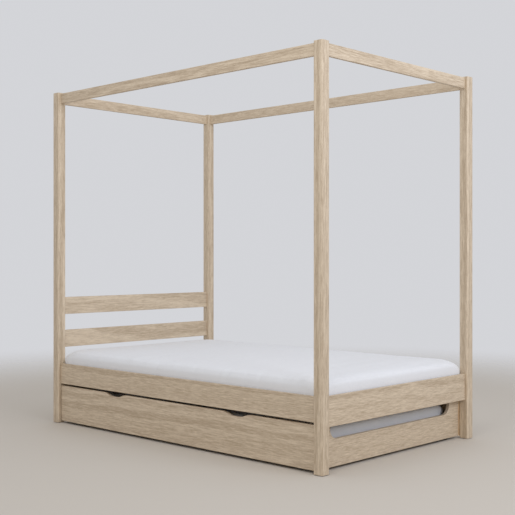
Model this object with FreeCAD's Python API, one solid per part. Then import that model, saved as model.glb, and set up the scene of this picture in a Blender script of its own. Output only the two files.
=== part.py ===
import FreeCAD, Part
import math
import os

# Four poster canopy bed with a trundle (a low drawer on castors that holds a second mattress).
# Millimetres. +Z is up, +Y points to the head of the bed, and the trundle rolls out along -X.
# The origin is on the floor, under the middle of the bed.

# --- driving dimensions -----------------------------------------------------------------------

# posts and the boards between them
post_side = 54.0
post_corner_radius = 9.0
post_top_easing = 2.5
post_height = 1963.0
post_pitch_x = 1228.0
post_pitch_y = 2034.0
board_thickness = 18.0
board_easing = 2.5
glide_radius = 14.0
glide_thickness = 3.0

canopy_rail_bottom = 1898.5
canopy_rail_top = 1957.5
side_rail_bottom = 233.0
end_rail_bottom = 211.0
rail_top = 352.0
headboard_lower_bottom = 446.0
headboard_upper_bottom = 643.0
headboard_board_height = 102.0

# slatted base and main mattress
ledger_width = 22.0
ledger_height = 25.0
ledger_end_gap = 5.0
slat_count = 14
slat_width = 70.0
slat_thickness = 20.0
slat_end_clearance = 3.0
first_slat_from_middle = 950.0
tape_width = 25.0
tape_thickness = 1.2
tape_from_middle = 350.0
mattress_size_x = 1200.0
mattress_size_y = 2000.0
mattress_thickness = 150.0
mattress_corner_radius = 42.0
mattress_top_edge_radius = 40.0
mattress_bottom_edge_radius = 25.0

# trundle
trundle_front_inset = 19.5
trundle_post_gap = 4.0
trundle_back_gap = 2.3
trundle_bottom = 13.5
trundle_top = 221.0
trundle_easing = 2.0
finger_cutout_from_middle = 478.0
finger_cutout_width = 205.0
finger_cutout_side_run = 88.0
finger_cutout_depth = 17.5
end_cutout_margin = 90.0
end_cutout_floor = 141.0
end_cutout_radius = 52.0
end_cutout_lip_radius = 8.0
trundle_ledger_bottom = 54.0
trundle_slat_count = 13
trundle_slat_thickness = 18.0
trundle_first_slat_from_middle = 921.0
trundle_slat_clearance = 2.5
trundle_tape_from_middle = 280.0
trundle_mattress_size_x = 1140.0
trundle_mattress_size_y = 1900.0
trundle_mattress_thickness = 100.0
trundle_mattress_corner_radius = 50.0
trundle_mattress_top_edge_radius = 28.0
trundle_mattress_bottom_edge_radius = 18.0

# stop blocks on the right posts, which the trundle's end panels meet when it is home
stop_block_length = 40.0
stop_block_proud = 2.0
stop_block_bottom = 12.0
stop_block_top = 216.0
stop_screw_from_end = 40.0

# castors
wheel_radius = 22.5
wheel_width = 18.0
wheel_easing = 2.0
wheel_recess_depth = 3.0
wheel_recess_inner_radius = 9.0
wheel_recess_outer_radius = 17.0
axle_radius = 4.0
axle_running_clearance = 0.05
axle_head_radius = 6.5
axle_head_thickness = 2.5
castor_plate_thickness = 3.0
castor_side_gap = 2.0
castor_top = 60.0
castor_flange_bottom = 12.0
castor_flange_half_length = 38.0
castor_plate_half_length = 26.0
castor_lobe_radius = 10.5
castor_shoulder = 42.0
castor_screw_from_axle = 33.0
castor_from_panel_end = 63.5

# hardware
cam_radius = 7.5
cam_depth = 13.0
cam_from_end = 34.0
cam_cross_width = 1.6
cam_cross_depth = 2.0
cap_radius = 8.5
cap_thickness = 1.0
rod_radius = 3.5
rod_in_post = 11.0
rod_in_cam = 5.0
dowel_radius = 4.0
dowel_in_post = 15.0
dowel_in_panel = 10.0
dowel_in_board = 20.0
screw_radius = 2.0
screw_head_radius = 4.0
screw_head_height = 2.4
screw_tip = 4.0
screw_cross_length = 4.6
screw_cross_width = 0.9
screw_cross_depth = 1.6
screw_past_ledger = 13.0
slat_screw_length = 28.0
trundle_slat_screw_length = 26.0
castor_screw_length = 16.0

# --- places worked out from the driving dimensions --------------------------------------------

half_post = post_side / 2
post_x = post_pitch_x / 2
post_y = post_pitch_y / 2
half_board = board_thickness / 2
inner_x = post_x - half_board
inner_y = post_y - half_board
ledger_top = side_rail_bottom + ledger_height
slat_top = ledger_top + slat_thickness

front_outer_x = -(post_x + half_post - trundle_front_inset)
front_inner_x = front_outer_x + board_thickness
back_outer_x = post_x - half_post - trundle_back_gap
back_inner_x = back_outer_x - board_thickness
end_outer_y = post_y - half_post - trundle_post_gap
end_inner_y = end_outer_y - board_thickness
trundle_middle_x = (front_inner_x + back_inner_x) / 2
trundle_ledger_top = trundle_ledger_bottom + ledger_height
trundle_slat_top = trundle_ledger_top + trundle_slat_thickness
castor_xs = {
    "front": front_inner_x + castor_from_panel_end,
    "back": back_inner_x - castor_from_panel_end,
}
wheel_outer_y = end_inner_y - castor_plate_thickness - castor_side_gap
wheel_inner_y = wheel_outer_y - wheel_width
castor_plate_outer_y = wheel_inner_y - castor_side_gap
castor_plate_inner_y = castor_plate_outer_y - castor_plate_thickness

SIDES = {"left": -1, "right": 1}
ENDS = {"foot": -1, "head": 1}
X, Y, Z = FreeCAD.Vector(1, 0, 0), FreeCAD.Vector(0, 1, 0), FreeCAD.Vector(0, 0, 1)

made = []


def save(name, shape):
    """Write one node, from a solid or from a list of separate solids."""
    if isinstance(shape, list):
        shape = Part.Compound(shape)
    if not shape.isValid():
        raise ValueError(name + " is not valid")
    shape.exportStep("parts/" + name + ".step")
    made.append((name, len(shape.Solids), shape.Volume))


def box(x_range, y_range, z_range):
    """A block between two places on each axis, given in any order."""
    low = FreeCAD.Vector(min(x_range), min(y_range), min(z_range))
    high = FreeCAD.Vector(max(x_range), max(y_range), max(z_range))
    size = high - low
    return Part.makeBox(size.x, size.y, size.z, low)


def edges_along(shape, direction):
    """The straight edges of a shape that run along a direction."""
    found = []
    for edge in shape.Edges:
        if isinstance(edge.Curve, Part.Line):
            along = (edge.Vertexes[1].Point - edge.Vertexes[0].Point).normalize()
            if abs(along.dot(direction)) > 0.999:
                found.append(edge)
    return found


def edges_at(shape, direction, place):
    """The edges of a shape that lie wholly in the plane at a place along a direction."""
    return [edge for edge in shape.Edges
            if all(abs(point.dot(direction) - place) < 0.01 for point in edge.discretize(5))]


def eased_board(x_range, y_range, z_range, direction):
    """A board whose four long edges are rounded over."""
    blank = box(x_range, y_range, z_range)
    return blank.makeFillet(board_easing, edges_along(blank, direction))


def padded_block(x_range, y_range, z_range, corner_radius, top_radius, bottom_radius):
    """A mattress: a block with round corners and rolled top and bottom edges."""
    shape = box(x_range, y_range, z_range)
    shape = shape.makeFillet(corner_radius, edges_along(shape, Z))
    shape = shape.makeFillet(top_radius, edges_at(shape, Z, max(z_range)))
    return shape.makeFillet(bottom_radius, edges_at(shape, Z, min(z_range)))


# --- hardware ---------------------------------------------------------------------------------

def cross_recess(face_point, inward, length, width, depth):
    """The cross that a screwdriver fits, sunk into a face from a point on it."""
    first = Part.makeBox(length, width, depth + 1)
    second = Part.makeBox(width, length, depth + 1)
    first.translate(FreeCAD.Vector(-length / 2, -width / 2, -1))
    second.translate(FreeCAD.Vector(-width / 2, -length / 2, -1))
    cross = first.fuse(second)
    cross.Placement = FreeCAD.Placement(face_point, FreeCAD.Rotation(Z, inward))
    return cross


def screw(head_point, direction, length):
    """A countersunk wood screw: head cone, shank and tip, driven from its head's face."""
    neck = head_point + direction * screw_head_height
    tip_start = head_point + direction * (length - screw_tip)
    head = Part.makeCone(screw_head_radius, screw_radius, screw_head_height, head_point, direction)
    shank = Part.makeCylinder(
        screw_radius, length - screw_tip - screw_head_height, neck, direction)
    tip = Part.makeCone(screw_radius, 0.3, screw_tip, tip_start, direction)
    cross = cross_recess(head_point, direction, screw_cross_length, screw_cross_width,
                         screw_cross_depth)
    return head.multiFuse([shank, tip]).cut(cross)


class Fittings:
    """The cam dowels, cam locks, caps and wooden dowels that hold one assembly together."""

    def __init__(self):
        self.rods, self.cams, self.cam_seats, self.caps, self.dowels = [], [], [], [], []

    def join(self, face_point, into_board, cam_side, cam_heights, dowel_heights, post_depth):
        """Fit one board's end. face_point is on the face that it meets, at mid thickness."""
        for height in cam_heights:
            start = face_point + Z * height
            length = rod_in_post + cam_from_end - cam_radius + rod_in_cam
            rod = Part.makeCylinder(rod_radius, length, start - into_board * rod_in_post, into_board)
            surface = start + into_board * cam_from_end + cam_side * half_board
            cam = Part.makeCylinder(cam_radius, cam_depth, surface, cam_side * -1)
            self.rods.append(rod)
            self.cam_seats.append(cam)
            cross = cross_recess(surface, cam_side * -1, 1.2 * cam_radius, cam_cross_width,
                                 cam_cross_depth)
            self.cams.append(cam.cut(rod).cut(cross))
            self.caps.append(Part.makeCylinder(cap_radius, cap_thickness, surface, cam_side))
        for height in dowel_heights:
            start = face_point + Z * height - into_board * post_depth
            dowel = Part.makeCylinder(dowel_radius, post_depth + dowel_in_board, start, into_board)
            self.dowels.append(dowel)

    def pockets(self):
        """Everything that a board or a post must leave room for."""
        return self.rods + self.dowels + self.cam_seats


def near(solids, shape):
    """The solids whose boxes touch a shape's box, so that a cut only meets those."""
    bounds = shape.BoundBox
    return [solid for solid in solids if bounds.intersect(solid.BoundBox)]


def with_pockets(shape, solids):
    """A shape with room cut for the hardware that sits in it."""
    tools = near(solids, shape)
    return shape.cut(tools) if tools else shape


frame_fittings = Fittings()
trundle_fittings = Fittings()
frame_screws = []
trundle_screws = []

# --- frame boards -----------------------------------------------------------------------------

frame_boards = {}
face_x = post_x - half_post
face_y = post_y - half_post
single_cam, single_dowels = (0.0,), (-18.0, 18.0)
wide_dowels = (-34.0, 34.0)
double_cams, double_dowels = (-25.0, 25.0), (-46.0, 0.0, 46.0)


def long_board(name, side, z_range, cams, dowels):
    """A board along Y between a foot post and a head post; its cams face inwards."""
    middle = side * post_x
    frame_boards[name] = eased_board(
        (middle - half_board, middle + half_board), (-face_y, face_y), z_range, Y)
    height = Z * (sum(z_range) / 2)
    for end in ENDS.values():
        frame_fittings.join(FreeCAD.Vector(middle, end * face_y, 0) + height, Y * -end,
                            X * -side, cams, dowels, dowel_in_post)


def cross_board(name, end, z_range, cams, dowels, cam_side):
    """A board along X between a left post and a right post."""
    middle = end * post_y
    frame_boards[name] = eased_board(
        (-face_x, face_x), (middle - half_board, middle + half_board), z_range, X)
    height = Z * (sum(z_range) / 2)
    for side in SIDES.values():
        frame_fittings.join(FreeCAD.Vector(side * face_x, middle, 0) + height, X * -side,
                            cam_side, cams, dowels, dowel_in_post)


for side_name, side in SIDES.items():
    long_board("canopy_rail_" + side_name, side, (canopy_rail_bottom, canopy_rail_top),
               single_cam, single_dowels)
    long_board("side_rail_" + side_name, side, (side_rail_bottom, rail_top),
               double_cams, double_dowels)
for end_name, end in ENDS.items():
    cross_board("canopy_rail_" + end_name, end, (canopy_rail_bottom, canopy_rail_top),
                single_cam, single_dowels, Y * -end)
    cross_board(end_name + "_rail", end, (end_rail_bottom, rail_top),
                double_cams, double_dowels, Y * -end)
for level, bottom in {"lower": headboard_lower_bottom, "upper": headboard_upper_bottom}.items():
    cross_board("headboard_" + level + "_board", ENDS["head"],
                (bottom, bottom + headboard_board_height), single_cam, wide_dowels, Y)


# --- posts and glides -------------------------------------------------------------------------

def post(x, y):
    """A square post with round corners and an eased top."""
    shape = box((x - half_post, x + half_post), (y - half_post, y + half_post),
                (glide_thickness, post_height))
    shape = shape.makeFillet(post_corner_radius, edges_along(shape, Z))
    return shape.makeFillet(post_top_easing, edges_at(shape, Z, post_height))


posts, glides = {}, []
for side_name, side in SIDES.items():
    for end_name, end in ENDS.items():
        x, y = side * post_x, end * post_y
        posts["post_" + end_name + "_" + side_name] = post(x, y)
        glides.append(Part.makeCylinder(glide_radius, glide_thickness, FreeCAD.Vector(x, y, 0)))


# --- slatted base -----------------------------------------------------------------------------

def spaced(first, last, count):
    """Evenly spaced places from first to last."""
    return [first + (last - first) * i / (count - 1) for i in range(count)]


ledgers, slats = {}, {}
slat_ys = spaced(-first_slat_from_middle, first_slat_from_middle, slat_count)
slat_half_length = inner_x - slat_end_clearance
slat_screw_x = inner_x - ledger_width / 2 - 1.0
ledger_screw_z = side_rail_bottom + 8.0
ledger_screw_reach = 900.0
ledger_screw_count = 7

for side_name, side in SIDES.items():
    reach = face_y - ledger_end_gap
    ledgers["slat_ledger_" + side_name] = box(
        (side * inner_x, side * (inner_x - ledger_width)), (-reach, reach),
        (side_rail_bottom, ledger_top))
    for y in spaced(-ledger_screw_reach, ledger_screw_reach, ledger_screw_count):
        head = FreeCAD.Vector(side * (inner_x - ledger_width), y, ledger_screw_z)
        frame_screws.append(screw(head, X * side, ledger_width + screw_past_ledger))

for number, y in enumerate(slat_ys, 1):
    slats["slat_%02d" % number] = eased_board(
        (-slat_half_length, slat_half_length), (y - slat_width / 2, y + slat_width / 2),
        (ledger_top, slat_top), X)
    for side in SIDES.values():
        head = FreeCAD.Vector(side * slat_screw_x, y, slat_top)
        frame_screws.append(screw(head, Z * -1, slat_screw_length))

tape_reach = first_slat_from_middle + slat_width / 2 - board_easing
slat_tapes = [
    box((x - tape_width / 2, x + tape_width / 2), (-tape_reach, tape_reach),
        (ledger_top - tape_thickness, ledger_top))
    for x in (-tape_from_middle, tape_from_middle)]

mattress = padded_block(
    (-mattress_size_x / 2, mattress_size_x / 2), (-mattress_size_y / 2, mattress_size_y / 2),
    (slat_top, slat_top + mattress_thickness), mattress_corner_radius,
    mattress_top_edge_radius, mattress_bottom_edge_radius)

# --- stop blocks on the right posts -----------------------------------------------------------

stop_blocks = []
stop_inner_y = end_inner_y - 2.0
stop_block_x = (face_x - stop_block_proud, face_x - stop_block_proud + stop_block_length)
for end in ENDS.values():
    stop_blocks.append(box(stop_block_x, (end * stop_inner_y, end * face_y),
                           (stop_block_bottom, stop_block_top)))
    for z in (stop_block_bottom + stop_screw_from_end, stop_block_top - stop_screw_from_end):
        head = FreeCAD.Vector(post_x, end * stop_inner_y, z)
        frame_screws.append(screw(head, Y * end, face_y - stop_inner_y + screw_past_ledger))


# --- trundle panels ---------------------------------------------------------------------------

def quarter(centre_a, centre_b, radius, start, finish, place):
    """An arc between two angles in degrees, in the plane that place maps to space."""
    angles = [math.radians(start + (finish - start) * part) for part in (0.0, 0.5, 1.0)]
    points = [place(centre_a + radius * math.cos(angle), centre_b + radius * math.sin(angle))
              for angle in angles]
    return Part.Arc(*points).toShape()


def closed_outline(pieces):
    """A face from arcs given in order, with straight edges filled in between them."""
    edges = []
    for i, piece in enumerate(pieces):
        following = pieces[(i + 1) % len(pieces)]
        if isinstance(piece, FreeCAD.Vector):
            finish = piece
        else:
            edges.append(piece)
            finish = piece.valueAt(piece.LastParameter)
        if isinstance(following, FreeCAD.Vector):
            start = following
        else:
            start = following.valueAt(following.FirstParameter)
        if finish.distanceToPoint(start) > 0.001:
            edges.append(Part.makeLine(finish, start))
    return Part.Face(Part.Wire(edges))


def bell_cutout(centre, place):
    """A finger cutout in a top edge: each side is two equal arcs that meet in an S."""
    run, depth = finger_cutout_side_run, finger_cutout_depth
    radius = (run * run + depth * depth) / (4 * depth)
    turn = math.degrees(math.acos(1 - depth / (2 * radius)))
    left, right = centre - finger_cutout_width / 2, centre + finger_cutout_width / 2
    crest, trough = trundle_top - radius, trundle_top - depth + radius
    return [
        quarter(left, crest, radius, 90, 90 - turn, place),
        quarter(left + run, trough, radius, 270 - turn, 270, place),
        quarter(right - run, trough, radius, 270, 270 + turn, place),
        quarter(right, crest, radius, 90 + turn, 90, place),
    ]


def front_panel():
    """The trundle's visible long panel, with two finger cutouts in its top edge."""
    def place(y, z):
        return FreeCAD.Vector(front_outer_x, y, z)

    pieces = [place(-end_outer_y, trundle_bottom), place(-end_outer_y, trundle_top)]
    pieces += bell_cutout(-finger_cutout_from_middle, place)
    pieces += bell_cutout(finger_cutout_from_middle, place)
    pieces += [place(end_outer_y, trundle_top), place(end_outer_y, trundle_bottom)]
    panel = closed_outline(pieces).extrude(X * board_thickness)
    return panel.makeFillet(trundle_easing, edges_at(panel, X, front_outer_x))


def end_panel(end, has_cutout):
    """A short panel, plain or with a wide cutout that is open at the top."""
    outer = end * end_outer_y

    def place(x, z):
        return FreeCAD.Vector(x, outer, z)

    left, right = front_inner_x + end_cutout_margin, back_outer_x - end_cutout_margin
    lip, radius = end_cutout_lip_radius, end_cutout_radius
    cutout = [
        quarter(left - lip, trundle_top - lip, lip, 90, 0, place),
        quarter(left + radius, end_cutout_floor + radius, radius, 180, 270, place),
        quarter(right - radius, end_cutout_floor + radius, radius, 270, 360, place),
        quarter(right + lip, trundle_top - lip, lip, 180, 90, place),
    ]
    pieces = [place(front_inner_x, trundle_bottom), place(front_inner_x, trundle_top)]
    pieces += cutout if has_cutout else []
    pieces += [place(back_outer_x, trundle_top), place(back_outer_x, trundle_bottom)]
    panel = closed_outline(pieces).extrude(Y * (-end * board_thickness))
    rim = [edge for edge in edges_at(panel, Y, outer)
           if edge.BoundBox.ZMax > trundle_bottom + 1
           and edge.BoundBox.XMax > front_inner_x + 1]
    return panel.makeFillet(trundle_easing, rim)


trundle_panels = {
    "trundle_front": front_panel(),
    "trundle_end_foot": end_panel(ENDS["foot"], True),
    "trundle_end_head": end_panel(ENDS["head"], False),
    "trundle_back": eased_board((back_inner_x, back_outer_x), (-end_inner_y, end_inner_y),
                                (trundle_bottom, trundle_top), Y),
}
panel_cams, panel_dowels = (90.0, 165.0), (35.0, 200.0)
end_middle_y = end_outer_y - half_board
for end in ENDS.values():
    trundle_fittings.join(FreeCAD.Vector(front_inner_x, end * end_middle_y, 0), X, Y * -end,
                          panel_cams, panel_dowels, dowel_in_panel)
    trundle_fittings.join(
        FreeCAD.Vector((back_inner_x + back_outer_x) / 2, end * end_inner_y, 0), Y * -end,
        X * -1, panel_cams, panel_dowels, dowel_in_panel)

# --- trundle base and mattress ----------------------------------------------------------------

trundle_ledgers = {
    "trundle_ledger_front": box((front_inner_x, front_inner_x + ledger_width),
                                (-end_inner_y, end_inner_y),
                                (trundle_ledger_bottom, trundle_ledger_top)),
    "trundle_ledger_back": box((back_inner_x, back_inner_x - ledger_width),
                               (-end_inner_y, end_inner_y),
                               (trundle_ledger_bottom, trundle_ledger_top)),
}
trundle_ledger_screw_reach = 840.0
trundle_ledger_screw_count = 5
trundle_ledger_screw_z = trundle_ledger_bottom + 8.0
for y in spaced(-trundle_ledger_screw_reach, trundle_ledger_screw_reach,
                trundle_ledger_screw_count):
    front_head = FreeCAD.Vector(front_inner_x + ledger_width, y, trundle_ledger_screw_z)
    back_head = FreeCAD.Vector(back_inner_x - ledger_width, y, trundle_ledger_screw_z)
    trundle_screws.append(screw(front_head, X * -1, ledger_width + screw_past_ledger))
    trundle_screws.append(screw(back_head, X, ledger_width + screw_past_ledger))

trundle_slats = []
trundle_slat_x = (front_inner_x + trundle_slat_clearance, back_inner_x - trundle_slat_clearance)
for y in spaced(-trundle_first_slat_from_middle, trundle_first_slat_from_middle,
                trundle_slat_count):
    trundle_slats.append(eased_board(
        trundle_slat_x, (y - slat_width / 2, y + slat_width / 2),
        (trundle_ledger_top, trundle_slat_top), X))
    for x in (front_inner_x + ledger_width / 2, back_inner_x - ledger_width / 2):
        head = FreeCAD.Vector(x, y, trundle_slat_top)
        trundle_screws.append(screw(head, Z * -1, trundle_slat_screw_length))

trundle_tape_reach = trundle_first_slat_from_middle + slat_width / 2 - board_easing
trundle_tapes = [
    box((trundle_middle_x + offset - tape_width / 2, trundle_middle_x + offset + tape_width / 2),
        (-trundle_tape_reach, trundle_tape_reach),
        (trundle_ledger_top - tape_thickness, trundle_ledger_top))
    for offset in (-trundle_tape_from_middle, trundle_tape_from_middle)]

trundle_mattress = padded_block(
    (trundle_middle_x - trundle_mattress_size_x / 2, trundle_middle_x + trundle_mattress_size_x / 2),
    (-trundle_mattress_size_y / 2, trundle_mattress_size_y / 2),
    (trundle_slat_top, trundle_slat_top + trundle_mattress_thickness),
    trundle_mattress_corner_radius, trundle_mattress_top_edge_radius,
    trundle_mattress_bottom_edge_radius)


# --- castors ----------------------------------------------------------------------------------

def castor_cheek(x, y_range):
    """A castor's side plate: a wide top that narrows to a round lobe at the axle."""
    near_y = min(y_range)
    half, rise = castor_plate_half_length, castor_shoulder - wheel_radius
    reach = math.hypot(half, rise)
    angle = math.atan2(rise, half) - math.acos(castor_lobe_radius / reach)
    touch_x = castor_lobe_radius * math.cos(angle)
    touch_z = wheel_radius + castor_lobe_radius * math.sin(angle)
    corners = [(half, castor_top), (half, castor_shoulder), (touch_x, touch_z),
               (-touch_x, touch_z), (-half, castor_shoulder), (-half, castor_top)]
    points = [FreeCAD.Vector(x + across, near_y, z) for across, z in corners]
    plate = Part.Face(Part.makePolygon(points + points[:1]))
    thickness = max(y_range) - near_y
    lobe = Part.makeCylinder(castor_lobe_radius, thickness,
                             FreeCAD.Vector(x, near_y, wheel_radius), Y)
    return plate.extrude(Y * thickness).fuse(lobe).removeSplitter()


def castor(x, end):
    """One castor: its folded steel housing, its axle and its four screws."""
    flange = box((x - castor_flange_half_length, x + castor_flange_half_length),
                 (end * end_inner_y, end * (end_inner_y - castor_plate_thickness)),
                 (castor_flange_bottom, castor_top))
    cheek = castor_cheek(x, (end * castor_plate_outer_y, end * castor_plate_inner_y))
    web = box((x - castor_plate_half_length, x + castor_plate_half_length),
              (end * castor_plate_inner_y, end * end_inner_y),
              (castor_top - castor_plate_thickness, castor_top))
    housing = flange.multiFuse([cheek, web]).removeSplitter()
    head = Part.makeCylinder(
        axle_head_radius, axle_head_thickness,
        FreeCAD.Vector(x, end * (castor_plate_inner_y - axle_head_thickness), wheel_radius), Y * end)
    shank_start = FreeCAD.Vector(x, end * castor_plate_inner_y, wheel_radius)
    shank = Part.makeCylinder(axle_radius, end_inner_y - castor_plate_inner_y, shank_start, Y * end)
    screws = []
    for across in (-castor_screw_from_axle, castor_screw_from_axle):
        for z in (castor_flange_bottom + 10.0, castor_top - 10.0):
            start = FreeCAD.Vector(x + across, end * (end_inner_y - castor_plate_thickness), z)
            screws.append(screw(start, Y * end, castor_screw_length))
    axle = head.fuse(shank).removeSplitter()
    return housing.cut(screws + [shank]), axle, screws


def wheel(x, end):
    """A moulded wheel with eased treads and a shallow ring recess in each face."""
    start = FreeCAD.Vector(x, end * wheel_inner_y, wheel_radius)
    outward = Y * end
    body = Part.makeCylinder(wheel_radius, wheel_width, start, outward)
    rims = [edge for edge in body.Edges if isinstance(edge.Curve, Part.Circle)]
    body = body.makeFillet(wheel_easing, rims)
    bore = Part.makeCylinder(axle_radius + axle_running_clearance, wheel_width, start, outward)
    cuts = [bore]
    for depth in (0.0, wheel_width - wheel_recess_depth):
        face = start + outward * depth
        ring = Part.makeCylinder(wheel_recess_outer_radius, wheel_recess_depth, face, outward)
        hub = Part.makeCylinder(wheel_recess_inner_radius, wheel_recess_depth, face, outward)
        cuts.append(ring.cut(hub))
    return body.cut(cuts)


housings, axles, wheels = [], [], {}
for place_name, x in castor_xs.items():
    for end_name, end in ENDS.items():
        housing, axle, screws = castor(x, end)
        housings.append(housing)
        axles.append(axle)
        trundle_screws += screws
        wheels["castor_wheel_" + place_name + "_" + end_name] = wheel(x, end)

# --- write the nodes --------------------------------------------------------------------------

os.makedirs("parts", exist_ok=True)
frame_hardware = frame_fittings.pockets() + frame_screws
for name, shape in {**posts, **frame_boards, **ledgers, **slats}.items():
    save(name, with_pockets(shape, frame_hardware))
save("trundle_stop_blocks", [with_pockets(block, frame_screws) for block in stop_blocks])
save("slat_tapes", slat_tapes)
save("mattress", mattress)
save("felt_glides", glides)
save("frame_cam_dowels", frame_fittings.rods)
save("frame_cam_locks", frame_fittings.cams)
save("frame_cam_caps", frame_fittings.caps)
save("frame_wooden_dowels", frame_fittings.dowels)
save("frame_screws", frame_screws)

trundle_hardware = trundle_fittings.pockets() + trundle_screws
for name, shape in {**trundle_panels, **trundle_ledgers}.items():
    save(name, with_pockets(shape, trundle_hardware))
save("trundle_slats", [with_pockets(slat, trundle_screws) for slat in trundle_slats])
save("trundle_slat_tapes", trundle_tapes)
save("trundle_mattress", trundle_mattress)
save("trundle_cam_dowels", trundle_fittings.rods)
save("trundle_cam_locks", trundle_fittings.cams)
save("trundle_wooden_dowels", trundle_fittings.dowels)
save("trundle_screws", trundle_screws)
save("castor_housings", housings)
save("castor_axles", axles)
for name, shape in wheels.items():
    save(name, shape)

for name, solids, volume in made:
    print("%-26s %3d solids %12.0f mm3" % (name, solids, volume))
print(len(made), "nodes")
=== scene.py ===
import math

import bmesh
import bpy
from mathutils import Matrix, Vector, noise


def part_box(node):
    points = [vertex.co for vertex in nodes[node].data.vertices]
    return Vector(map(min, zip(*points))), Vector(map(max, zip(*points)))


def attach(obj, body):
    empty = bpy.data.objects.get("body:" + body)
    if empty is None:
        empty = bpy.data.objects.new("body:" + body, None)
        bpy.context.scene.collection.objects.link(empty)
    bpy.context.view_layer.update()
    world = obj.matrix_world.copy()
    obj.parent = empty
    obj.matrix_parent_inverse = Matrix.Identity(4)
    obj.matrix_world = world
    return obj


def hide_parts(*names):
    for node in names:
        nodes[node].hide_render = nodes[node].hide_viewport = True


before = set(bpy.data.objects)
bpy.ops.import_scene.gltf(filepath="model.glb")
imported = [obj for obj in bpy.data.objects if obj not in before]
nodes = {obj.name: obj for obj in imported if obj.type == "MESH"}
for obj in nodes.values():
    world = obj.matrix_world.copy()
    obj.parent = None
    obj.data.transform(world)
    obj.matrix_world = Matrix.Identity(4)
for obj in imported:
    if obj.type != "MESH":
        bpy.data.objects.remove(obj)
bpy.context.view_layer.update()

# The room the bed is shown in: a pale floor that fades into an even light backdrop, two soft
# lamps beyond the foot end, one off the left side and a weak one overhead. The camera stands at
# table height, off the foot left corner, and looks level.

BACKDROP = (0.655, 0.662, 0.690)

world = bpy.data.worlds.new("soft_backdrop")
bpy.context.scene.world = world
world.use_nodes = True
world.node_tree.nodes["Background"].inputs["Color"].default_value = (*BACKDROP, 1)
world.node_tree.nodes["Background"].inputs["Strength"].default_value = 1.0
bpy.context.scene.view_settings.view_transform = "Standard"


def add_node(tree, kind, settings=None, **inputs):
    """A shader or geometry node, with its options and its unlinked inputs set by name."""
    node = tree.nodes.new(kind)
    for name, value in (settings or {}).items():
        setattr(node, name, value)
    for name, value in inputs.items():
        node.inputs[name.replace("_", " ")].default_value = value
    return node


def new_material(name):
    """An empty material with a Principled shader; gives the material, its tree and shader."""
    material = bpy.data.materials.new(name)
    material.use_nodes = True
    tree = material.node_tree
    return material, tree, tree.nodes["Principled BSDF"]


def floor_material():
    """Pale matt floor whose surface thins out towards the rim, so no edge of it shows."""
    material, tree, shader = new_material("pale_floor")
    place = add_node(tree, "ShaderNodeTexCoord")
    reach = add_node(tree, "ShaderNodeVectorMath", {"operation": "LENGTH"})
    fade = add_node(tree, "ShaderNodeMapRange", {"interpolation_type": "SMOOTHSTEP"},
                    From_Min=2.2, From_Max=5.5, To_Min=1.0, To_Max=0.0)
    tree.links.new(place.outputs["Object"], reach.inputs[0])
    tree.links.new(reach.outputs["Value"], fade.inputs["Value"])
    tree.links.new(fade.outputs["Result"], shader.inputs["Alpha"])
    shader.inputs["Base Color"].default_value = (0.58, 0.53, 0.46, 1)
    shader.inputs["Roughness"].default_value = 0.8
    return material


bpy.ops.mesh.primitive_circle_add(vertices=96, radius=6.0, fill_type="NGON")
floor = bpy.context.object
floor.name = "studio_floor"
floor.data.materials.append(floor_material())


def soft_lamp(name, place, towards, size, watts, colour=(1.0, 1.0, 1.0)):
    """A square area lamp aimed at a point."""
    light = bpy.data.lights.new(name, "AREA")
    light.size = size
    light.energy = watts
    light.color = colour
    lamp = bpy.data.objects.new(name, light)
    lamp.location = place
    lamp.rotation_euler = (Vector(towards) - Vector(place)).to_track_quat("-Z", "Y").to_euler()
    bpy.context.collection.objects.link(lamp)


DAYLIGHT = (0.95, 1.0, 1.13)
soft_lamp("high_foot_lamp", (-1.2, -4.4, 3.4), (0.0, 0.0, 3.0), 1.6, 41, DAYLIGHT)
soft_lamp("low_foot_lamp", (0.6, -4.6, 2.5), (0.4, 0.0, 3.0), 1.6, 39, DAYLIGHT)
soft_lamp("side_lamp", (-3.2, -1.6, 3.3), (0.0, -0.6, 2.9), 1.6, 29)
soft_lamp("overhead_lamp", (0.0, 0.0, 5.0), (0.0, 0.0, 0.0), 4.0, 8)

camera = bpy.data.objects.new("camera", bpy.data.cameras.new("camera"))
camera.data.lens = 67.14
camera.data.sensor_width = 36.0
camera.data.shift_x = 0.0003
camera.data.shift_y = -0.0009
camera.location = (-3.956, -3.800, 0.985)
camera.rotation_euler = (math.radians(90), 0, math.radians(-46.40))
bpy.context.collection.objects.link(camera)
bpy.context.scene.camera = camera

# The posts: four square lengths of pale, grey-beige oak with rounded corners, oiled matt.
# The grain runs up each post, and every post is cut from a different part of the tree.


def group_socket(tree, name, kind, direction="INPUT", value=None):
    """Adds one named socket to a node group."""
    socket = tree.interface.new_socket(name, in_out=direction, socket_type=kind)
    if value is not None:
        socket.default_value = value


def math_node(tree, operation, first, second=None, third=None):
    """A maths node fed by sockets or plain numbers; gives its result socket."""
    node = add_node(tree, "ShaderNodeMath", {"operation": operation})
    for slot, value in enumerate((first, second, third)):
        if isinstance(value, bpy.types.NodeSocket):
            tree.links.new(value, node.inputs[slot])
        elif value is not None:
            node.inputs[slot].default_value = value
    return node.outputs[0]


def stretched_noise(tree, vector, stretch, detail=2.0, roughness=0.55):
    """Noise drawn out along the grain: stretch is its cycles per metre on each axis."""
    scaled = add_node(tree, "ShaderNodeVectorMath", {"operation": "MULTIPLY"})
    scaled.inputs[1].default_value = stretch
    tree.links.new(vector, scaled.inputs[0])
    texture = add_node(tree, "ShaderNodeTexNoise", Scale=1.0, Detail=detail, Roughness=roughness)
    tree.links.new(scaled.outputs[0], texture.inputs["Vector"])
    return texture.outputs["Fac"]


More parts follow.
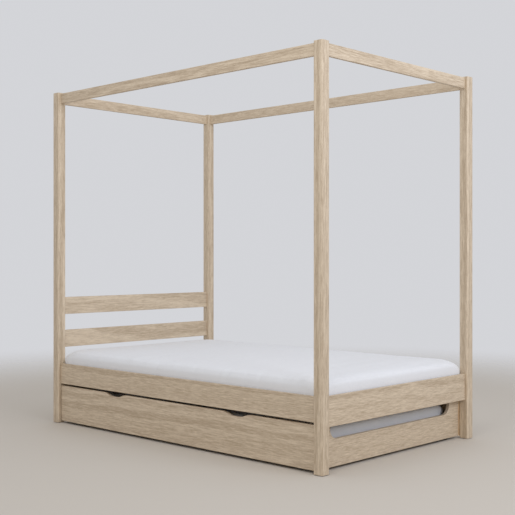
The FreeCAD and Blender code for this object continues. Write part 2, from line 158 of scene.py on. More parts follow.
def timber_group():
    """Solid timber with its grain along X: growth rings, fibre streaks and open pores."""
    tree = bpy.data.node_groups.new("timber_grain", "ShaderNodeTree")
    group_socket(tree, "Vector", "NodeSocketVector")
    group_socket(tree, "Dark", "NodeSocketColor", value=(0.4, 0.3, 0.2, 1))
    group_socket(tree, "Light", "NodeSocketColor", value=(0.6, 0.5, 0.4, 1))
    group_socket(tree, "Rings per metre", "NodeSocketFloat", value=130.0)
    group_socket(tree, "Ring strength", "NodeSocketFloat", value=0.5)
    group_socket(tree, "Streak strength", "NodeSocketFloat", value=0.5)
    group_socket(tree, "Pore strength", "NodeSocketFloat", value=0.5)
    group_socket(tree, "Color", "NodeSocketColor", "OUTPUT")
    group_socket(tree, "Roughness", "NodeSocketFloat", "OUTPUT")
    group_socket(tree, "Height", "NodeSocketFloat", "OUTPUT")
    given = add_node(tree, "NodeGroupInput")
    result = add_node(tree, "NodeGroupOutput")

    wander = stretched_noise(tree, given.outputs["Vector"], (1.4, 5.0, 5.0), 2.0)
    sideways = math_node(tree, "MULTIPLY", math_node(tree, "SUBTRACT", wander, 0.5), 0.028)
    split = add_node(tree, "ShaderNodeSeparateXYZ")
    tree.links.new(given.outputs["Vector"], split.inputs[0])
    lean = math_node(tree, "MULTIPLY", split.outputs["X"], 0.008)
    across = math_node(tree, "ADD", math_node(tree, "ADD", split.outputs["Y"], sideways), lean)
    deep = math_node(tree, "ADD", split.outputs["Z"], sideways)
    radius = math_node(tree, "SQRT", math_node(
        tree, "ADD", math_node(tree, "POWER", across, 2.0), math_node(tree, "POWER", deep, 2.0)))
    rings = add_node(tree, "ShaderNodeTexNoise", {"noise_dimensions": "1D"},
                     Scale=1.0, Detail=3.0, Roughness=0.62)
    tree.links.new(math_node(tree, "MULTIPLY", radius, given.outputs["Rings per metre"]),
                   rings.inputs["W"])
    streaks = stretched_noise(tree, given.outputs["Vector"], (14.0, 220.0, 220.0), 3.0, 0.62)
    fibres = stretched_noise(tree, given.outputs["Vector"], (40.0, 640.0, 640.0), 2.0, 0.6)
    pores = stretched_noise(tree, given.outputs["Vector"], (60.0, 1300.0, 1300.0), 1.0, 0.5)
    pore = add_node(tree, "ShaderNodeMapRange", From_Min=0.62, From_Max=0.74)
    tree.links.new(pores, pore.inputs["Value"])

    def weighed(value, strength, share):
        centred = math_node(tree, "SUBTRACT", value, 0.5)
        return math_node(tree, "MULTIPLY", math_node(tree, "MULTIPLY", centred, strength), share)

    ring_part = weighed(rings.outputs["Fac"], given.outputs["Ring strength"], 2.2)
    streak_part = weighed(streaks, given.outputs["Streak strength"], 3.1)
    fibre_part = weighed(fibres, given.outputs["Streak strength"], 1.8)
    tone = math_node(tree, "ADD", math_node(tree, "ADD", ring_part, streak_part), fibre_part)
    tone = math_node(tree, "ADD", tone, 0.5)
    clamp = add_node(tree, "ShaderNodeClamp")
    tree.links.new(tone, clamp.inputs["Value"])
    timber = add_node(tree, "ShaderNodeMix", {"data_type": "RGBA"})
    tree.links.new(clamp.outputs[0], timber.inputs["Factor"])
    tree.links.new(given.outputs["Dark"], timber.inputs["A"])
    tree.links.new(given.outputs["Light"], timber.inputs["B"])
    pore_share = math_node(tree, "MULTIPLY", pore.outputs["Result"], given.outputs["Pore strength"])
    darkened = add_node(tree, "ShaderNodeMix", {"data_type": "RGBA", "blend_type": "MULTIPLY"},
                        B=(0.62, 0.55, 0.47, 1))
    tree.links.new(pore_share, darkened.inputs["Factor"])
    tree.links.new(timber.outputs["Result"], darkened.inputs["A"])
    tree.links.new(darkened.outputs["Result"], result.inputs["Color"])
    rough = add_node(tree, "ShaderNodeMapRange", To_Min=0.62, To_Max=0.48)
    tree.links.new(clamp.outputs[0], rough.inputs["Value"])
    tree.links.new(rough.outputs["Result"], result.inputs["Roughness"])
    height = math_node(tree, "SUBTRACT", math_node(tree, "MULTIPLY", fibres, 0.5), pore_share)
    tree.links.new(height, result.inputs["Height"])
    return tree


timber_grain = timber_group()
GRAIN_TURNS = {
    "x": (0.0, 0.0, 0.0),
    "y": (0.0, 0.0, -math.pi / 2),
    "z": (0.0, math.pi / 2, 0.0),
}


def timber_material(name, grain, tree_centre, dark, light, rings, strengths, bump):
    """Timber for one board. tree_centre is where the middle of its tree lay, seen along it."""
    material, tree, shader = new_material(name)
    place = add_node(tree, "ShaderNodeTexCoord")
    turn = add_node(tree, "ShaderNodeMapping", Rotation=GRAIN_TURNS[grain])
    shift = add_node(tree, "ShaderNodeVectorMath", {"operation": "ADD"})
    shift.inputs[1].default_value = tree_centre
    grain_node = add_node(tree, "ShaderNodeGroup", {"node_tree": timber_grain},
                          Dark=(*dark, 1), Light=(*light, 1))
    grain_node.inputs["Rings per metre"].default_value = rings
    for socket, strength in zip(("Ring strength", "Streak strength", "Pore strength"), strengths):
        grain_node.inputs[socket].default_value = strength
    bump_node = add_node(tree, "ShaderNodeBump", Strength=bump, Distance=0.0006)
    tree.links.new(place.outputs["Object"], turn.inputs["Vector"])
    tree.links.new(turn.outputs["Vector"], shift.inputs[0])
    tree.links.new(shift.outputs[0], grain_node.inputs["Vector"])
    tree.links.new(grain_node.outputs["Color"], shader.inputs["Base Color"])
    tree.links.new(grain_node.outputs["Roughness"], shader.inputs["Roughness"])
    tree.links.new(grain_node.outputs["Height"], bump_node.inputs["Height"])
    tree.links.new(bump_node.outputs["Normal"], shader.inputs["Normal"])
    return material


def dress(name, material):
    """Puts one material on a node."""
    nodes[name].data.materials.clear()
    nodes[name].data.materials.append(material)


def oak(name, grain, board):
    """Pale oak for a board; board is its number, which moves it in the tree."""
    low, high = (Vector(corner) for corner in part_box(name))
    middle = (low + high) / 2
    centre = {"x": (middle.y, middle.z), "y": (-middle.x, middle.z),
              "z": (middle.y, -middle.x)}[grain]
    slope = 0.55 + 0.35 * math.sin(2.4 * board)
    across = -centre[0] + 0.15 * math.sin(slope)
    deep = -centre[1] + 0.15 * math.cos(slope)
    material = timber_material("oak_" + name, grain, (3.1 * board, across, deep),
                               (0.455, 0.350, 0.236), (0.705, 0.579, 0.425), 75.0,
                               (0.60, 0.80, 0.70), 0.35)
    dress(name, material)


POSTS = [name for name in nodes if name.startswith("post_")]
for number, name in enumerate(sorted(POSTS), 1):
    oak(name, "z", number)

# The boards between the posts: thin oak rails for the canopy, two boards for the headboard,
# and the side, foot and head rails. The grain runs along each board.

LONG_BOARDS = ["canopy_rail_left", "canopy_rail_right", "side_rail_left", "side_rail_right",
               "trundle_front", "trundle_back"]
CROSS_BOARDS = ["canopy_rail_foot", "canopy_rail_head", "foot_rail", "head_rail",
                "headboard_lower_board", "headboard_upper_board",
                "trundle_end_foot", "trundle_end_head"]
for number, name in enumerate(LONG_BOARDS, 11):
    oak(name, "y", number)
for number, name in enumerate(CROSS_BOARDS, 31):
    oak(name, "x", number)

# The slatted bases: sprung pine slats screwed down to pine ledgers, and the pine blocks on the
# right posts that stop the trundle. The slats are planed and left bare, each with its own grain.


def pine(name, grain, board):
    """Bare planed pine for a slat or a ledger, with wide soft rings."""
    low, high = (Vector(corner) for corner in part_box(name))
    middle = (low + high) / 2
    centre = {"x": (middle.y, middle.z), "y": (-middle.x, middle.z)}[grain]
    slope = 1.0 + 0.5 * math.sin(1.9 * board)
    offset = (2.3 * board, 0.06 * math.sin(slope) - centre[0], 0.06 * math.cos(slope) - centre[1])
    dress(name, timber_material("pine_" + name, grain, offset, (0.60, 0.40, 0.21),
                                (0.83, 0.67, 0.45), 120.0, (1.0, 0.30, 0.12), 0.25))


for number, name in enumerate(sorted(name for name in nodes if name.startswith("slat_")
                                     and name != "slat_tapes"), 51):
    pine(name, "y" if "ledger" in name else "x", number)
for number, (name, grain) in enumerate({"trundle_slats": "x", "trundle_ledger_front": "y",
                                        "trundle_ledger_back": "y",
                                        "trundle_stop_blocks": "x"}.items(), 71):
    pine(name, grain, number)

# The mattresses: blocks of foam in a white cotton jersey cover with a fitted sheet. The sheet
# drags into faint creases across the bed, and its elastic puckers it along the rolled edges.


def weave_group():
    """Plain woven or knitted cloth: crossed threads with painted shade between them, uneven yarn
    and a faint mottle.
    """
    tree = bpy.data.node_groups.new("woven_cloth", "ShaderNodeTree")
    group_socket(tree, "Vector", "NodeSocketVector")
    # Hollow is the colour with painted shade that goes between the threads, where they dip.
    group_socket(tree, "Hollow", "NodeSocketColor", value=(0.7, 0.7, 0.7, 1))
    group_socket(tree, "Thread", "NodeSocketColor", value=(0.8, 0.8, 0.8, 1))
    group_socket(tree, "Threads per metre", "NodeSocketFloat", value=1200.0)
    group_socket(tree, "Mottle", "NodeSocketFloat", value=0.3)
    group_socket(tree, "Color", "NodeSocketColor", "OUTPUT")
    group_socket(tree, "Roughness", "NodeSocketFloat", "OUTPUT")
    group_socket(tree, "Height", "NodeSocketFloat", "OUTPUT")
    given = add_node(tree, "NodeGroupInput")
    result = add_node(tree, "NodeGroupOutput")
    split = add_node(tree, "ShaderNodeSeparateXYZ")
    tree.links.new(given.outputs["Vector"], split.inputs[0])
    turns = math_node(tree, "MULTIPLY", given.outputs["Threads per metre"], math.pi)
    waves = [math_node(tree, "SINE", math_node(tree, "MULTIPLY", split.outputs[axis], turns))
             for axis in "XYZ"]
    crossed = [math_node(tree, "MULTIPLY", waves[a], waves[b]) for a, b in ((0, 1), (1, 2), (2, 0))]
    threads = math_node(tree, "ADD", math_node(tree, "ADD", crossed[0], crossed[1]), crossed[2])
    yarn = stretched_noise(tree, given.outputs["Vector"], (420.0, 420.0, 420.0), 2.0, 0.6)
    mottle = stretched_noise(tree, given.outputs["Vector"], (9.0, 9.0, 9.0), 3.0, 0.6)
    # Low tone between the threads gives painted shade in the hollows; the yarn and mottle added to
    # it are the cloth's own unevenness.
    tone = math_node(tree, "ADD", math_node(tree, "MULTIPLY", threads, 0.25), 0.5)
    tone = math_node(tree, "ADD", tone, math_node(tree, "SUBTRACT", yarn, 0.5))
    uneven = math_node(tree, "MULTIPLY", math_node(tree, "SUBTRACT", mottle, 0.5),
                       given.outputs["Mottle"])
    clamp = add_node(tree, "ShaderNodeClamp")
    tree.links.new(math_node(tree, "ADD", tone, uneven), clamp.inputs["Value"])
    cloth = add_node(tree, "ShaderNodeMix", {"data_type": "RGBA"})
    tree.links.new(clamp.outputs[0], cloth.inputs["Factor"])
    tree.links.new(given.outputs["Hollow"], cloth.inputs["A"])
    tree.links.new(given.outputs["Thread"], cloth.inputs["B"])
    tree.links.new(cloth.outputs["Result"], result.inputs["Color"])
    rough = add_node(tree, "ShaderNodeMapRange", To_Min=0.97, To_Max=0.86)
    tree.links.new(clamp.outputs[0], rough.inputs["Value"])
    tree.links.new(rough.outputs["Result"], result.inputs["Roughness"])
    tree.links.new(tone, result.inputs["Height"])
    return tree


woven_cloth = weave_group()


def cloth_material(name, hollow_shade, thread, threads, mottle, bump, sheen):
    """Cloth: hollow_shade is the thread colour darkened by painted shade, laid between the threads;
    thread the colour on top of them.
    """
    material, tree, shader = new_material(name)
    place = add_node(tree, "ShaderNodeTexCoord")
    weave = add_node(tree, "ShaderNodeGroup", {"node_tree": woven_cloth},
                     Hollow=(*hollow_shade, 1), Thread=(*thread, 1), Mottle=mottle)
    weave.inputs["Threads per metre"].default_value = threads
    bump_node = add_node(tree, "ShaderNodeBump", Strength=bump, Distance=0.0003)
    tree.links.new(place.outputs["Object"], weave.inputs["Vector"])
    tree.links.new(weave.outputs["Color"], shader.inputs["Base Color"])
    tree.links.new(weave.outputs["Roughness"], shader.inputs["Roughness"])
    tree.links.new(weave.outputs["Height"], bump_node.inputs["Height"])
    tree.links.new(bump_node.outputs["Normal"], shader.inputs["Normal"])
    shader.inputs["Sheen Weight"].default_value = sheen
    shader.inputs["Sheen Roughness"].default_value = 0.5
    return material


def evaluated_mesh(item):
    """The object's mesh with its modifiers applied."""
    graph = bpy.context.evaluated_depsgraph_get()
    return bpy.data.meshes.new_from_object(item.evaluated_get(graph))


def bake_modifiers(item):
    """Applies an object's modifiers to its mesh."""
    item.data = evaluated_mesh(item)
    item.modifiers.clear()


def foam_block(name, node, drawn_in, voxel):
    """An evenly meshed copy of a mattress's solid, drawn in towards its middle."""
    low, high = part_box(node)
    middle, half = (low + high) / 2, (high - low) / 2
    shape = bmesh.new()
    shape.from_mesh(nodes[node].data)
    bmesh.ops.remove_doubles(shape, verts=shape.verts, dist=1e-5)
    for vertex in shape.verts:
        for axis in range(3):
            reach = vertex.co[axis] - middle[axis]
            vertex.co[axis] = middle[axis] + reach * (1 - drawn_in[axis] / half[axis])
    mesh = bpy.data.meshes.new(name)
    shape.to_mesh(mesh)
    shape.free()
    block = bpy.data.objects.new(name, mesh)
    bpy.context.collection.objects.link(block)
    remesh = block.modifiers.new("even_faces", "REMESH")
    remesh.mode = "VOXEL"
    remesh.voxel_size = voxel
    bake_modifiers(block)
    return block


def fill_out(block, pressure, cap):
    """Blows the block up as cloth for 20 frames, so that its sides belly out, up to a cap."""
    rest = [vertex.co.copy() for vertex in block.data.vertices]
    cloth = block.modifiers.new("filling", "CLOTH")
    cloth.settings.use_pressure = True
    cloth.settings.uniform_pressure_force = pressure
    cloth.settings.effector_weights.gravity = 0.0
    cloth.point_cache.frame_start = 1
    cloth.point_cache.frame_end = 20
    for step in range(1, 21):
        bpy.context.scene.frame_set(step)
    bake_modifiers(block)
    bpy.context.scene.frame_set(1)
    for vertex, start in zip(block.data.vertices, rest):
        move = vertex.co - start
        if move.length > 1e-6:
            vertex.co = start + move * (cap * math.tanh(move.length / cap) / move.length)


def smooth_step(value, low, high):
    """0 below low, 1 above high, and a smooth rise between them."""
    share = min(max((value - low) / (high - low), 0.0), 1.0)
    return share * share * (3 - 2 * share)


def crease(block, node, seed):
    """Moves points in and out along their normals: long creases on top, puckers at the edges."""
    low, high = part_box(node)
    middle = (low + high) / 2
    block.data.update()
    normals = [vertex.normal.copy() for vertex in block.data.vertices]
    for vertex, normal in zip(block.data.vertices, normals):
        x, y, z = vertex.co - middle
        side_x, side_y = (high.x - middle.x) - abs(x), (high.y - middle.y) - abs(y)
        on_top = smooth_step(normal.z, 0.3, 0.95)
        fan = y * (1.0 + 0.22 * x) + 0.05 * x
        long_crease = noise.noise(Vector((1.1 * x, 12.0 * fan, seed)))
        fine_crease = noise.noise(Vector((2.0 * x, 25.0 * fan, seed + 7.0)))
        patch = smooth_step(noise.noise(Vector((1.3 * x, 1.7 * y, seed + 3.0))), -0.25, 0.35)
        swell = noise.noise(Vector((2.6 * x, 2.2 * y, seed + 11.0)))
        move = on_top * (0.0050 * patch * long_crease + 0.0022 * patch * fine_crease
                         + 0.0016 * swell)
        along = y if side_x < side_y else x
        near_edge = 1.0 - smooth_step(min(side_x, side_y), 0.02, 0.11)
        pucker = noise.noise(Vector((17.0 * along, 1.5 * z, seed + 19.0)))
        nick = noise.noise(Vector((38.0 * along, 3.0 * z, seed + 23.0)))
        upper = smooth_step(vertex.co.z, low.z + 0.02, high.z - 0.02)
        move -= near_edge * upper * (0.0022 * smooth_step(pucker, 0.12, 0.5)
                                     + 0.0009 * smooth_step(nick, 0.15, 0.5))
        vertex.co += normal * move


def slump(block, node, edge_drop, corner_drop):
    """Lets the top sink towards its edges and more at its corners, as shares of the depth."""
    low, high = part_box(node)
    middle, depth = (low + high) / 2, high.z - low.z
    for vertex in block.data.vertices:
        side_x = (high.x - middle.x) - abs(vertex.co.x - middle.x)
        side_y = (high.y - middle.y) - abs(vertex.co.y - middle.y)
        edge = 1.0 - smooth_step(min(side_x, side_y), 0.0, 0.08)
        corner = (1.0 - smooth_step(side_x, 0.0, 0.11)) * (1.0 - smooth_step(side_y, 0.0, 0.11))
        upper = smooth_step(vertex.co.z, low.z + 0.35 * depth, high.z)
        vertex.co.z -= upper * depth * (edge_drop * edge + corner_drop * corner)


def keep_clear(block, lowest, side_low, side_high, rail_top, above_rail):
    """Holds the block inside its rails and off the slats; above the rails it may lean out."""
    for vertex in block.data.vertices:
        spare = above_rail * smooth_step(vertex.co.z, rail_top, rail_top + 0.03)
        vertex.co.z = max(vertex.co.z, lowest)
        for axis in range(2):
            vertex.co[axis] = min(max(vertex.co[axis], side_low[axis] - spare),
                                  side_high[axis] + spare)


def finish_padding(block, node, body, material):
    """Smooth shading and material for a mattress; hangs it on its body and hides its solid."""
    for face in block.data.polygons:
        face.use_smooth = True
    block.data.materials.clear()
    block.data.materials.append(material)
    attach(block, body)
    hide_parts(node)


def mattress(name, node, body, voxel, drawn_in, cap, limits, seed, post_corner=None):
    """One mattress from its solid: filled out, subdivided, creased and kept off the wood."""
    block = foam_block(name, node, drawn_in, voxel)
    fill_out(block, 4.0, cap)
    finer = block.modifiers.new("finer", "SUBSURF")
    finer.levels = finer.render_levels = 1
    bake_modifiers(block)
    crease(block, node, seed)
    slump(block, node, 0.015, 0.14)
    keep_clear(block, *limits)
    if post_corner:
        for vertex in block.data.vertices:
            over = [abs(vertex.co[axis]) - post_corner[axis] for axis in range(2)]
            if min(over) > 0:
                axis = over.index(min(over))
                vertex.co[axis] = math.copysign(post_corner[axis], vertex.co[axis])
    finish_padding(block, node, body, cover)
    return block


# The first colour is the painted shade between the jersey's threads.
cover = cloth_material("white_jersey", (0.70, 0.70, 0.71), (0.83, 0.83, 0.835), 900.0, 0.15,
                       0.25, 0.12)
RAIL_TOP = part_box("side_rail_left")[1].z
INNER_X = -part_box("side_rail_left")[1].x
INNER_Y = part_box("head_rail")[0].y
SLAT_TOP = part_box("slat_01")[1].z
AIR = 0.0015
POST_CORNER = (abs(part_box("post_head_left")[1].x) - AIR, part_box("post_head_left")[0].y - AIR)
mattress("mattress_padded", "mattress", "bed_frame", 0.016, (-0.009, -0.011, 0.004), 0.009,
         (SLAT_TOP + 0.0005, (-INNER_X + AIR, -INNER_Y + AIR), (INNER_X - AIR, INNER_Y - AIR),
          RAIL_TOP, 0.006), 4.0, POST_CORNER)
TRUNDLE_SLAT_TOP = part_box("trundle_slats")[1].z
mattress("trundle_mattress_padded", "trundle_mattress", "trundle", 0.020, (0.004, 0.004, 0.004),
         0.008, (TRUNDLE_SLAT_TOP + 0.0005,
                 (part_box("trundle_front")[1].x + AIR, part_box("trundle_end_foot")[1].y + AIR),
                 (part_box("trundle_back")[0].x - AIR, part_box("trundle_end_head")[0].y - AIR),
                 1.0, 0.0), 31.0)

# The tapes under the slats keep them spaced. They are woven cotton webbing, held up against
# each slat by one steel staple, whose crown lies across the tape.

# The first colour is the painted shade between the webbing's threads.
webbing = cloth_material("cotton_webbing", (0.55, 0.52, 0.45), (0.82, 0.79, 0.71), 620.0, 0.5,
                         0.6, 0.1)
for name in ("slat_tapes", "trundle_slat_tapes"):
    dress(name, webbing)


def metal_group():
    """Plated or bare steel: drawn-out rolling marks and dull patches."""
    tree = bpy.data.node_groups.new("marked_metal", "ShaderNodeTree")
    group_socket(tree, "Vector", "NodeSocketVector")
    group_socket(tree, "Dull", "NodeSocketColor", value=(0.4, 0.4, 0.4, 1))
    group_socket(tree, "Bright", "NodeSocketColor", value=(0.6, 0.6, 0.6, 1))
    group_socket(tree, "Polish", "NodeSocketFloat", value=0.5)
    group_socket(tree, "Color", "NodeSocketColor", "OUTPUT")
    group_socket(tree, "Roughness", "NodeSocketFloat", "OUTPUT")
    group_socket(tree, "Height", "NodeSocketFloat", "OUTPUT")
    given = add_node(tree, "NodeGroupInput")
    result = add_node(tree, "NodeGroupOutput")
    marks = stretched_noise(tree, given.outputs["Vector"], (60.0, 900.0, 900.0), 3.0, 0.6)
    patches = stretched_noise(tree, given.outputs["Vector"], (70.0, 70.0, 70.0), 3.0, 0.6)
    blend = math_node(tree, "MULTIPLY", math_node(tree, "ADD", marks, patches), 0.5)
    spread = add_node(tree, "ShaderNodeMapRange", From_Min=0.35, From_Max=0.65)
    tree.links.new(blend, spread.inputs["Value"])
    metal = add_node(tree, "ShaderNodeMix", {"data_type": "RGBA"})
    tree.links.new(spread.outputs["Result"], metal.inputs["Factor"])
    tree.links.new(given.outputs["Dull"], metal.inputs["A"])
    tree.links.new(given.outputs["Bright"], metal.inputs["B"])
    tree.links.new(metal.outputs["Result"], result.inputs["Color"])
    matt = math_node(tree, "SUBTRACT", 0.62, math_node(tree, "MULTIPLY", spread.outputs["Result"],
                                                       0.16))
    rough = math_node(tree, "SUBTRACT", matt,
                      math_node(tree, "MULTIPLY", given.outputs["Polish"], 0.3))
    tree.links.new(rough, result.inputs["Roughness"])
    tree.links.new(marks, result.inputs["Height"])
    return tree


marked_metal = metal_group()


def grouped_material(name, group, colours, amount, bump, distance, metallic):
    """A material from a group with two colours and one amount, read in Object coordinates."""
    material, tree, shader = new_material(name)
    place = add_node(tree, "ShaderNodeTexCoord")
    surface = add_node(tree, "ShaderNodeGroup", {"node_tree": group})
    for (socket, colour) in colours.items():
        surface.inputs[socket].default_value = (*colour, 1)
    surface.inputs[amount[0]].default_value = amount[1]
    bump_node = add_node(tree, "ShaderNodeBump", Strength=bump, Distance=distance)
    tree.links.new(place.outputs["Object"], surface.inputs["Vector"])
    tree.links.new(surface.outputs["Color"], shader.inputs["Base Color"])
    tree.links.new(surface.outputs["Roughness"], shader.inputs["Roughness"])
    tree.links.new(surface.outputs["Height"], bump_node.inputs["Height"])
    tree.links.new(bump_node.outputs["Normal"], shader.inputs["Normal"])
    shader.inputs["Metallic"].default_value = metallic
    return material


zinc = grouped_material("zinc_plate", marked_metal, {"Dull": (0.50, 0.49, 0.46),
                                                     "Bright": (0.74, 0.73, 0.70)},
                        ("Polish", 0.6), 0.15, 0.0002, 1.0)


def geometry_socket(tree, name, kind, value):
    """Adds a named input with its value to a geometry tree."""
    tree.interface.new_socket(name, in_out="INPUT", socket_type=kind).default_value = value


def staple_tree():
    """Staples in rows: one under each slat, on two tapes that run along Y."""
    tree = bpy.data.node_groups.new("staple_rows", "GeometryNodeTree")
    tree.interface.new_socket("Geometry", in_out="OUTPUT", socket_type="NodeSocketGeometry")
    geometry_socket(tree, "Slats", "NodeSocketInt", 2)
    geometry_socket(tree, "First place", "NodeSocketVector", (0.0, 0.0, 0.0))
    geometry_socket(tree, "Pitch", "NodeSocketFloat", 0.1)
    geometry_socket(tree, "Tape spacing", "NodeSocketFloat", 0.5)
    geometry_socket(tree, "Crown", "NodeSocketFloat", 0.01)
    geometry_socket(tree, "Leg", "NodeSocketFloat", 0.004)
    geometry_socket(tree, "Wire radius", "NodeSocketFloat", 0.0006)
    tree.interface.new_socket("Metal", in_out="INPUT", socket_type="NodeSocketMaterial")
    given = add_node(tree, "NodeGroupInput")
    result = add_node(tree, "NodeGroupOutput")

    def vector(x=0.0, y=0.0, z=0.0):
        node = add_node(tree, "ShaderNodeCombineXYZ")
        for axis, value in zip("XYZ", (x, y, z)):
            if isinstance(value, bpy.types.NodeSocket):
                tree.links.new(value, node.inputs[axis])
            else:
                node.inputs[axis].default_value = value
        return node.outputs[0]

    half = math_node(tree, "MULTIPLY", given.outputs["Crown"], 0.5)
    other = math_node(tree, "MULTIPLY", half, -1.0)
    corners = [(half, given.outputs["Leg"]), (half, 0.0), (other, 0.0),
               (other, given.outputs["Leg"])]
    join_wires = add_node(tree, "GeometryNodeJoinGeometry")
    profile = add_node(tree, "GeometryNodeCurvePrimitiveCircle", Resolution=8)
    tree.links.new(given.outputs["Wire radius"], profile.inputs["Radius"])
    for (x_start, z_start), (x_end, z_end) in zip(corners, corners[1:]):
        wire = add_node(tree, "GeometryNodeCurvePrimitiveLine")
        tree.links.new(vector(x_start, 0.0, z_start), wire.inputs["Start"])
        tree.links.new(vector(x_end, 0.0, z_end), wire.inputs["End"])
        drawn = add_node(tree, "GeometryNodeCurveToMesh", Fill_Caps=True)
        tree.links.new(wire.outputs["Curve"], drawn.inputs["Curve"])
        tree.links.new(profile.outputs["Curve"], drawn.inputs["Profile Curve"])
        tree.links.new(drawn.outputs["Mesh"], join_wires.inputs["Geometry"])
    rows = add_node(tree, "GeometryNodeJoinGeometry")
    spacing = vector(given.outputs["Tape spacing"])
    for shift in (None, spacing):
        start = given.outputs["First place"]
        if shift is not None:
            moved = add_node(tree, "ShaderNodeVectorMath", {"operation": "ADD"})
            tree.links.new(start, moved.inputs[0])
            tree.links.new(shift, moved.inputs[1])
            start = moved.outputs[0]
        row = add_node(tree, "GeometryNodeMeshLine", {"mode": "OFFSET"})
        tree.links.new(given.outputs["Slats"], row.inputs["Count"])
        tree.links.new(start, row.inputs["Start Location"])
        tree.links.new(vector(0.0, given.outputs["Pitch"]), row.inputs["Offset"])
        tree.links.new(row.outputs["Mesh"], rows.inputs["Geometry"])
    placed = add_node(tree, "GeometryNodeInstanceOnPoints")
    tree.links.new(rows.outputs["Geometry"], placed.inputs["Points"])
    tree.links.new(join_wires.outputs["Geometry"], placed.inputs["Instance"])
    real = add_node(tree, "GeometryNodeRealizeInstances")
    tree.links.new(placed.outputs["Instances"], real.inputs["Geometry"])
    coated = add_node(tree, "GeometryNodeSetMaterial")
    tree.links.new(real.outputs["Geometry"], coated.inputs["Geometry"])
    tree.links.new(given.outputs["Metal"], coated.inputs["Material"])
    tree.links.new(coated.outputs["Geometry"], result.inputs["Geometry"])
    return tree


staple_rows = staple_tree()


def grow(name, tree, settings):
    """A plain mesh piece from a geometry tree and its inputs, given by name."""
    piece = bpy.data.objects.new(name, bpy.data.meshes.new(name))
    bpy.context.collection.objects.link(piece)
    modifier = piece.modifiers.new("nodes", "NODES")
    modifier.node_group = tree
    for socket in tree.interface.items_tree:
        if socket.in_out == "INPUT" and socket.name in settings:
            modifier[socket.identifier] = settings[socket.name]
    bake_modifiers(piece)
    return piece


def staples(name, body, tapes, slat_box, slat_pitch, count):
    """The staples of one slatted base."""
    low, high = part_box(tapes)
    tape_width = 0.025
    piece = grow(name, staple_rows, {
        "Slats": count, "Pitch": slat_pitch, "Metal": zinc,
        "Tape spacing": high.x - low.x - tape_width,
        "First place": (low.x + tape_width / 2, slat_box, low.z - 0.0004)})
    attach(piece, body)


def middle_y(name):
    """Where the middle of a node lies along the bed."""
    low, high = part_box(name)
    return (low.y + high.y) / 2


staples("slat_staples", "bed_frame", "slat_tapes", middle_y("slat_01"),
        middle_y("slat_02") - middle_y("slat_01"), 14)
TRUNDLE_SLATS, SLAT_WIDTH = 13, 0.070
first_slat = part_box("trundle_slats")[0].y + SLAT_WIDTH / 2
staples("trundle_slat_staples", "trundle", "trundle_slat_tapes", first_slat,
        -2 * first_slat / (TRUNDLE_SLATS - 1), TRUNDLE_SLATS)

# The fittings: zinc plated cam dowels, cam locks and countersunk screws, and plain beech
# dowels, pressed into bored holes. The frame's cams are hidden by oak coloured plastic caps.

for name in ("frame_cam_dowels", "frame_cam_locks", "frame_screws", "trundle_cam_dowels",
             "trundle_cam_locks", "trundle_screws", "castor_axles"):
    dress(name, zinc)
for number, (name, grain) in enumerate({"frame_wooden_dowels": "x",
                                        "trundle_wooden_dowels": "y"}.items(), 91):
    dress(name, timber_material("beech_" + name, grain, (1.7 * number, 0.3, 0.2),
                                (0.58, 0.41, 0.27), (0.74, 0.57, 0.40), 160.0,
                                (0.5, 0.4, 0.5), 0.2))


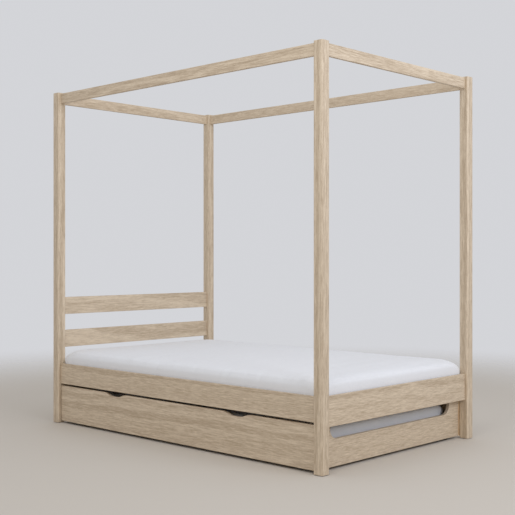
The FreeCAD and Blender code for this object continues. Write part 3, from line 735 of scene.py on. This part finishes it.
def moulding_group():
    """Moulded plastic: a fine spark-eroded grain, faint flow streaks and rubbed patches."""
    tree = bpy.data.node_groups.new("moulded_plastic", "ShaderNodeTree")
    group_socket(tree, "Vector", "NodeSocketVector")
    group_socket(tree, "Base", "NodeSocketColor", value=(0.3, 0.3, 0.3, 1))
    group_socket(tree, "Rubbed", "NodeSocketColor", value=(0.4, 0.4, 0.4, 1))
    group_socket(tree, "Wear", "NodeSocketFloat", value=0.3)
    group_socket(tree, "Color", "NodeSocketColor", "OUTPUT")
    group_socket(tree, "Roughness", "NodeSocketFloat", "OUTPUT")
    group_socket(tree, "Height", "NodeSocketFloat", "OUTPUT")
    given = add_node(tree, "NodeGroupInput")
    result = add_node(tree, "NodeGroupOutput")
    speckle = stretched_noise(tree, given.outputs["Vector"], (2600.0, 2600.0, 2600.0), 1.0, 0.5)
    flow = stretched_noise(tree, given.outputs["Vector"], (40.0, 160.0, 90.0), 3.0, 0.6)
    worn = add_node(tree, "ShaderNodeMapRange", From_Min=0.45, From_Max=0.70)
    tree.links.new(flow, worn.inputs["Value"])
    share = math_node(tree, "MULTIPLY", worn.outputs["Result"], given.outputs["Wear"])
    plastic = add_node(tree, "ShaderNodeMix", {"data_type": "RGBA"})
    tree.links.new(share, plastic.inputs["Factor"])
    tree.links.new(given.outputs["Base"], plastic.inputs["A"])
    tree.links.new(given.outputs["Rubbed"], plastic.inputs["B"])
    tree.links.new(plastic.outputs["Result"], result.inputs["Color"])
    rough = math_node(tree, "ADD", 0.42, math_node(tree, "MULTIPLY", share, 0.3))
    tree.links.new(rough, result.inputs["Roughness"])
    tree.links.new(speckle, result.inputs["Height"])
    return tree


moulded_plastic = moulding_group()
dress("frame_cam_caps", grouped_material(
    "cap_plastic", moulded_plastic, {"Base": (0.50, 0.40, 0.285), "Rubbed": (0.60, 0.49, 0.36)},
    ("Wear", 0.8), 0.12, 0.0001, 0.0))

# The glides under the posts: discs of pressed grey-brown felt, stuck on.

# Its first colour is the painted shade between the felt's fibres.
dress("felt_glides", cloth_material("pressed_felt", (0.045, 0.040, 0.036), (0.13, 0.115, 0.10),
                                    1500.0, 0.6, 0.8, 0.2))

# The castors: folded steel housings screwed inside the end panels, with an axle each, and
# black moulded wheels whose treads pick up dust from the floor.

dress("castor_housings", grouped_material(
    "castor_plate", marked_metal, {"Dull": (0.40, 0.40, 0.41), "Bright": (0.62, 0.62, 0.63)},
    ("Polish", 0.45), 0.2, 0.0002, 1.0))
wheel_plastic = grouped_material(
    "wheel_plastic", moulded_plastic, {"Base": (0.030, 0.030, 0.032),
                                       "Rubbed": (0.11, 0.105, 0.10)},
    ("Wear", 0.6), 0.2, 0.0001, 0.0)
for name in nodes:
    if name.startswith("castor_wheel_"):
        dress(name, wheel_plastic)
